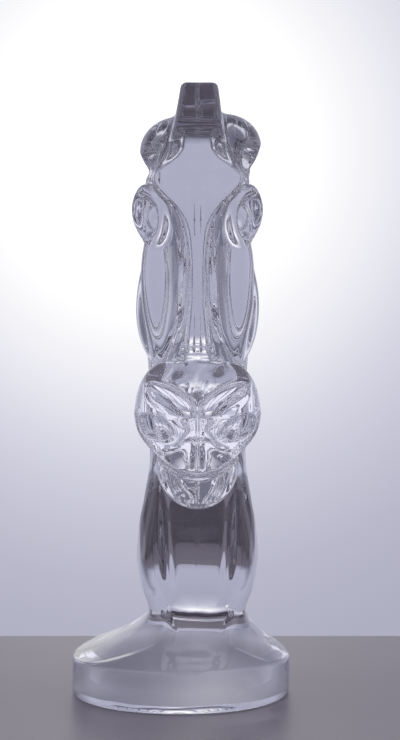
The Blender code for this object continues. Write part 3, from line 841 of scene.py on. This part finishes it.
@dataclass(frozen=True)
class ManeLocks:
    """The mane's locks, which fan out from one middle at equal angles, and the cast skin's slow swells.

    Both are pressed in by geometry nodes. Each point of the skin goes in along its normal, by the flute's
    depth there times the skin's own reach attribute, and in or out by the swell.
    """

    depth: float = 1.1              # millimetres
    lock_angle: float = 11.0        # degrees from one lock to the next
    sweep: float = 0.9              # degrees back for each millimetre further out
    straight_at: float = 70.0       # millimetres from the middle where the sweep is counted from
    swell_height: float = 0.8       # millimetres from the lowest to the highest place
    swell_length: float = 26.0      # millimetres from one swell to the next
    seed: float = 3.0
    reach_attribute: str = "mane_reach"

    def tree(self) -> bpy.types.NodeTree:
        """The node tree, with its sizes as named inputs."""
        tree = bpy.data.node_groups.new("press_mane_locks", "GeometryNodeTree")
        sockets = tree.interface
        for name, kind in (
            ("Geometry", "NodeSocketGeometry"), ("Depth", "NodeSocketFloat"), ("Lock Angle", "NodeSocketFloat"),
            ("Sweep", "NodeSocketFloat"), ("Straight At", "NodeSocketFloat"), ("Middle", "NodeSocketVector"),
            ("Swell Height", "NodeSocketFloat"), ("Swell Length", "NodeSocketFloat"), ("Seed", "NodeSocketFloat"),
            ("Material", "NodeSocketMaterial"),
        ):
            sockets.new_socket(name, in_out="INPUT", socket_type=kind)
        sockets.new_socket("Geometry", in_out="OUTPUT", socket_type="NodeSocketGeometry")
        given = add_node(tree, "NodeGroupInput").outputs
        place = add_node(tree, "GeometryNodeInputPosition")
        from_middle = add_node(tree, "ShaderNodeVectorMath", {"operation": "SUBTRACT"}, {
            0: place.outputs[0], 1: given["Middle"],
        })
        upright = add_node(tree, "ShaderNodeVectorMath", {"operation": "MULTIPLY"}, {
            0: from_middle.outputs[0], 1: (0.0, 1.0, 1.0),
        })
        parts = add_node(tree, "ShaderNodeSeparateXYZ", None, {0: upright.outputs[0]})
        swing = add_node(tree, "ShaderNodeMath", {"operation": "ARCTAN2"}, {0: parts.outputs[2], 1: parts.outputs[1]})
        spread = add_node(tree, "ShaderNodeVectorMath", {"operation": "LENGTH"}, {0: upright.outputs[0]})
        beyond = add_node(tree, "ShaderNodeMath", {"operation": "SUBTRACT"}, {
            0: spread.outputs["Value"], 1: given["Straight At"],
        })
        swept = add_node(tree, "ShaderNodeMath", {"operation": "MULTIPLY_ADD"}, {
            0: beyond.outputs[0], 1: given["Sweep"], 2: swing.outputs[0],
        })
        locks = add_node(tree, "ShaderNodeMath", {"operation": "DIVIDE"}, {0: swept.outputs[0], 1: given["Lock Angle"]})
        phase = add_node(tree, "ShaderNodeMath", {"operation": "MULTIPLY"}, {0: locks.outputs[0], 1: math.tau})
        wave = add_node(tree, "ShaderNodeMath", {"operation": "COSINE"}, {0: phase.outputs[0]})
        raised = add_node(tree, "ShaderNodeMath", {"operation": "MULTIPLY_ADD"}, {0: wave.outputs[0], 1: -0.5, 2: 0.5})
        flute = add_node(tree, "ShaderNodeMath", {"operation": "POWER"}, {0: raised.outputs[0], 1: 2.0})
        reach = add_node(tree, "GeometryNodeInputNamedAttribute", {"data_type": "FLOAT"}, {
            "Name": self.reach_attribute,
        })
        held = add_node(tree, "ShaderNodeMath", {"operation": "MULTIPLY"}, {
            0: flute.outputs[0], 1: reach.outputs["Attribute"],
        })
        inward = add_node(tree, "ShaderNodeMath", {"operation": "MULTIPLY"}, {0: held.outputs[0], 1: given["Depth"]})
        scale = add_node(tree, "ShaderNodeMath", {"operation": "DIVIDE"}, {0: 1.0, 1: given["Swell Length"]})
        swells = add_node(tree, "ShaderNodeTexNoise", {"noise_dimensions": "4D"}, {
            "Vector": place.outputs[0], "W": given["Seed"], "Scale": scale.outputs[0], "Detail": 1.2,
            "Roughness": 0.45,
        })
        level = add_node(tree, "ShaderNodeMath", {"operation": "SUBTRACT"}, {0: swells.outputs[0], 1: 0.5})
        whole = add_node(tree, "ShaderNodeMath", {"operation": "MULTIPLY"}, {
            0: level.outputs[0], 1: given["Swell Height"],
        })
        height = add_node(tree, "ShaderNodeSeparateXYZ", None, {0: place.outputs[0]})
        off_table = add_node(tree, "ShaderNodeMapRange", {"interpolation_type": "SMOOTHSTEP"}, {
            "Value": height.outputs[2], "From Min": 0.0005, "From Max": 0.006,
        })
        swell = add_node(tree, "ShaderNodeMath", {"operation": "MULTIPLY"}, {
            0: whole.outputs[0], 1: off_table.outputs[0],
        })
        out = add_node(tree, "ShaderNodeMath", {"operation": "SUBTRACT"}, {0: swell.outputs[0], 1: inward.outputs[0]})
        outwards = add_node(tree, "GeometryNodeInputNormal")
        offset = add_node(tree, "ShaderNodeVectorMath", {"operation": "SCALE"}, {
            0: outwards.outputs[0], "Scale": out.outputs[0],
        })
        pressed = add_node(tree, "GeometryNodeSetPosition", None, {
            "Geometry": given["Geometry"], "Offset": offset.outputs[0],
        })
        real = add_node(tree, "GeometryNodeRealizeInstances", None, {"Geometry": pressed.outputs[0]})
        dressed = add_node(tree, "GeometryNodeSetMaterial", None, {
            "Geometry": real.outputs[0], "Material": given["Material"],
        })
        add_node(tree, "NodeGroupOutput", None, {0: dressed.outputs[0]})
        return tree

    def press(self, blank: bpy.types.Object, material: bpy.types.Material, middle: Vector, drawn: float) -> bpy.types.Mesh:
        """Presses the locks into a casting.

        Args:
            blank: The casting without locks, with its reach attribute.
            material: The material of the result.
            middle: Where the locks fan out from, in metres.
            drawn: Drawn millimetres in one real metre.

        Returns:
            The finished plain mesh.
        """
        tree = self.tree()
        modifier = blank.modifiers.new("mane_locks", "NODES")
        modifier.node_group = tree
        values = {
            "Depth": self.depth / drawn,
            "Lock Angle": math.radians(self.lock_angle),
            "Sweep": math.radians(self.sweep) * drawn,
            "Straight At": self.straight_at / drawn,
            "Middle": middle,
            "Swell Height": self.swell_height / drawn,
            "Swell Length": self.swell_length / drawn,
            "Seed": self.seed,
            "Material": material,
        }
        for socket in tree.interface.items_tree:
            if socket.in_out == "INPUT" and socket.name in values:
                modifier[socket.identifier] = values[socket.name]
        depsgraph = bpy.context.evaluated_depsgraph_get()
        mesh = bpy.data.meshes.new_from_object(blank.evaluated_get(depsgraph))
        blank.modifiers.remove(modifier)
        return mesh


@dataclass
class CrystalHorseHead:
    """The whole casting: head, mane and neck on the foot, one solid piece of glass."""

    neck: Neck = field(default_factory=Neck)
    skull: Skull = field(default_factory=Skull)
    muzzle: Muzzle = field(default_factory=Muzzle)
    mouth: Mouth = field(default_factory=Mouth)
    ears: Ears = field(default_factory=Ears)
    eyes: Eyes = field(default_factory=Eyes)
    mane: Mane = field(default_factory=Mane)
    foot: Foot = field(default_factory=Foot)
    locks: ManeLocks = field(default_factory=ManeLocks)
    finish: LeadCrystal = field(default_factory=LeadCrystal)
    shift: tuple[float, float] = (7.0, -4.0)    # the waist's middle, from the foot's centre
    skin_step: float = 1.18
    node: str = "horse_head"

    def drawn(self) -> float:
        """Drawn millimetres in one real metre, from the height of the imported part."""
        low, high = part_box(self.node)
        return MANE_TOP / (high.z - low.z)

    def own_axes(self, at: Point) -> Point:
        """A point in the horse's own axes."""
        return at[0] - self.shift[0], at[1] - self.shift[1], at[2]

    def without_mane(self, at: Point) -> Array:
        """Head and neck, in the horse's own axes."""
        head = melt(self.skull.shape(at), self.muzzle.shape(at, self.mouth.above_line(at)), 3.0)
        head = self.muzzle.open_nostrils(head, at)
        head = self.mouth.cut(head, at, self.skull.behind_face(at))
        return melt(self.neck.shape(at), head, 4)

    def shape(self, at: Point) -> Array:
        """The whole sculpture's field, in the foot's axes."""
        own = self.own_axes(at)
        body = melt(self.without_mane(own), self.mane.shape(own), 1.2)
        horse = self.eyes.add(self.ears.add(body, own), own)
        above_wall = np.maximum(horse, self.foot.wall + 1 - at[2])
        whole = melt(above_wall, self.foot.shape(at, self.neck, self.shift), 4.0)
        return trim(whole, -at[2], self.foot.rim)

    def lock_reach(self, points: Array) -> Array:
        """How deep the mane's locks go at each point of the skin, 0 to 1."""
        own = self.own_axes(tuple(points.T))
        other = self.ears.add(self.without_mane(own), own)
        return self.mane.lock_reach(own, other)

    def slope(self, points: Array, nudge: float) -> Array:
        """The field's gradient at each point, read this far to either side."""
        steps = nudge * np.eye(3)
        rises = [self.shape(tuple((points + step).T)) - self.shape(tuple((points - step).T)) for step in steps]
        return np.stack(rises, axis=1) / (2 * nudge)

    def settled(self, points: Array) -> Array:
        """The points moved straight on to the field's zero surface, each by less than a cell."""
        reach = self.skin_step / 3
        for _ in range(2):
            value = self.shape(tuple(points.T))
            slope = self.slope(points, nudge=0.02)
            steepness = np.sum(slope**2, axis=1, keepdims=True)
            move = -value[:, None] * slope / np.maximum(steepness, 0.1)
            length = np.linalg.norm(move, axis=1, keepdims=True)
            points = points + move * np.minimum(1, reach / np.maximum(length, 1e-9))
        return points

    def skin(self) -> tuple[Array, Array]:
        """Points in drawn millimetres and quads of the casting, its underside exactly flat."""
        half_x, half_y = self.foot.width / 2, self.foot.depth / 2
        first = min(-half_y, self.shift[1] - 88)
        last = max(half_y, self.shift[1] + max(y for y, _ in self.mane.side.points) + 1)
        grid = SkinGrid((-half_x, first, 0), (half_x, last, MANE_TOP), self.skin_step)
        points, quads = grid.skin(self.shape(grid.points()))
        points = self.settled(points)
        points[points[:, 2] < 0.03, 2] = 0.0
        return points, quads

    def build(self) -> bpy.types.Object:
        """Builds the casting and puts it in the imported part's place."""
        drawn = self.drawn()
        points, quads = self.skin()
        mesh = bpy.data.meshes.new("casting_blank")
        mesh.from_pydata((points / drawn).tolist(), [], quads.tolist())
        mesh.shade_smooth()
        normals = self.slope(points, nudge=0.3)
        normals /= np.linalg.norm(normals, axis=1, keepdims=True)
        mesh.normals_split_custom_set_from_vertices(normals.tolist())
        reach = mesh.attributes.new(self.locks.reach_attribute, "FLOAT", "POINT")
        reach.data.foreach_set("value", self.lock_reach(points).astype(np.float32))
        blank = bpy.data.objects.new("casting_blank", mesh)
        bpy.context.scene.collection.objects.link(blank)
        middle = Vector((0, self.mane.middle[0] + self.shift[1], self.mane.middle[1])) / drawn
        finished = self.locks.press(blank, self.finish.build(), middle, drawn)
        bpy.data.objects.remove(blank)
        finished.name = "crystal_horse_casting"
        casting = bpy.data.objects.new("crystal_horse_casting", finished)
        bpy.context.scene.collection.objects.link(casting)
        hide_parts(self.node)
        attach(casting, "root")
        LOG.info("casting: %d points, %d faces", len(finished.vertices), len(finished.polygons))
        return casting


# The setting


@dataclass(frozen=True)
class Tabletop:
    """A plain pale tabletop whose back edge is close behind the sculpture."""

    width: float = 1.9
    front: float = -1.9
    back_edge: float = 0.15
    thickness: float = 0.04
    corner: float = 0.004
    gap: float = 0.0002             # the foot stands this far clear of it
    finish: SatinLaminate = SatinLaminate()

    def build(self) -> bpy.types.Object:
        """Builds the slab with its edges rounded."""
        low = Vector((-self.width / 2, self.front, -self.gap - self.thickness))
        high = Vector((self.width / 2, self.back_edge, -self.gap))
        corners = [Vector((x, y, z)) for x in (low.x, high.x) for y in (low.y, high.y) for z in (low.z, high.z)]
        faces = [(0, 1, 3, 2), (4, 6, 7, 5), (0, 4, 5, 1), (2, 3, 7, 6), (0, 2, 6, 4), (1, 5, 7, 3)]
        mesh = bpy.data.meshes.new("tabletop")
        mesh.from_pydata(corners, [], faces)
        mesh.materials.append(self.finish.build())
        table = bpy.data.objects.new("tabletop", mesh)
        bpy.context.scene.collection.objects.link(table)
        rounding = table.modifiers.new("rounded_edges", "BEVEL")
        rounding.width, rounding.segments = self.corner, 4
        LOG.info("tabletop: back edge %.0f mm behind the foot's centre", 1000 * self.back_edge)
        return table


@dataclass(frozen=True)
class Studio:
    """A white paper sheet lit from behind, brightest above the sculpture, in a dim lilac-grey room."""

    spot: tuple[float, float, float] = (-0.026, 1.0, 0.113)   # direction of the sheet's brightest place
    strength: float = 1.3
    # (angle from the brightest place in degrees, sRGB colour)
    falloff: tuple[tuple[float, str], ...] = (
        (0.0, "#FFFFFF"), (3.0, "#F3F3F3"), (5.4, "#E2E2E3"), (6.7, "#D8D8DC"), (8.0, "#CDCDD5"),
        (9.0, "#C3C3CE"), (10.0, "#BABAC7"), (11.5, "#AFAFBE"), (13.3, "#A4A4B4"), (16.0, "#9B9BAC"),
        (32.0, "#A4A4B6"), (43.0, "#626272"), (56.0, "#6C6C7C"), (63.0, "#DCDCE8"), (72.0, "#D6D6E4"),
        (78.0, "#9292A4"), (88.0, "#A6A6B6"), (98.0, "#5E5E70"), (112.0, "#3E3E4A"), (180.0, "#3A3A46"),
    )

    def build(self) -> bpy.types.World:
        """Builds the world light."""
        world = bpy.data.worlds.new("studio")
        bpy.context.scene.world = world
        world.use_nodes = True
        tree = world.node_tree
        tree.nodes.clear()
        place = add_node(tree, "ShaderNodeTexCoord")
        direction = add_node(tree, "ShaderNodeVectorMath", {"operation": "NORMALIZE"}, {0: place.outputs["Generated"]})
        facing = add_node(tree, "ShaderNodeVectorMath", {"operation": "DOT_PRODUCT"}, {
            0: direction.outputs[0], 1: Vector(self.spot).normalized(),
        })
        angle = add_node(tree, "ShaderNodeMath", {"operation": "ARCCOSINE"}, {0: facing.outputs["Value"]})
        share = add_node(tree, "ShaderNodeMath", {"operation": "DIVIDE"}, {0: angle.outputs[0], 1: math.pi})
        ramp = add_node(tree, "ShaderNodeValToRGB", None, {"Fac": share.outputs[0]})
        stops = ramp.color_ramp.elements
        while len(stops) < len(self.falloff):
            stops.new(0.5)
        for stop, (degrees, colour) in zip(stops, self.falloff):
            stop.position, stop.color = degrees / 180, linear(colour)
        light = add_node(tree, "ShaderNodeBackground", None, {"Color": ramp.outputs["Color"], "Strength": self.strength})
        add_node(tree, "ShaderNodeOutputWorld", None, {"Surface": light.outputs["Background"]})
        LOG.info("studio: light from %s", self.spot)
        return world


@dataclass(frozen=True)
class PhotoCamera:
    """A camera level with the muzzle, straight in front of the horse."""

    place: tuple[float, float, float] = (0.007, -0.784, 0.138)
    image: tuple[int, int] = (400, 740)
    focal_pixels: float = 1857.0
    centre: tuple[float, float] = (197.5, 360.0)    # the pixel that the lens points at
    sensor: float = 36.0

    def build(self) -> bpy.types.Object:
        """Builds the camera and makes it the scene's own."""
        data = bpy.data.cameras.new("camera")
        long_side = max(self.image)
        data.sensor_width = self.sensor
        data.lens = self.sensor * self.focal_pixels / long_side
        data.shift_x = (self.image[0] / 2 - self.centre[0]) / long_side
        data.shift_y = -(self.image[1] / 2 - self.centre[1]) / long_side
        data.clip_start = 0.01
        camera = bpy.data.objects.new("camera", data)
        camera.location = self.place
        camera.rotation_euler = (math.pi / 2, 0.0, 0.0)
        bpy.context.scene.collection.objects.link(camera)
        bpy.context.scene.camera = camera
        LOG.info("camera: %.1f mm lens", data.lens)
        return camera


def set_light_paths(scene: bpy.types.Scene) -> None:
    """Lets light pass through the glass often enough to leave it again, and keeps colours plain."""
    scene.view_settings.view_transform = "Standard"
    scene.cycles.max_bounces = 32
    scene.cycles.transmission_bounces = 32
    scene.cycles.glossy_bounces = 12
    scene.cycles.sample_clamp_indirect = 6.0


def main() -> None:
    """Builds the casting, the tabletop, the light and the camera."""
    logging.basicConfig(level=logging.INFO, format="%(name)s: %(message)s")
    set_light_paths(bpy.context.scene)
    PhotoCamera().build()
    Studio().build()
    Tabletop().build()
    CrystalHorseHead().build()


if __name__ == "__main__":
    main()
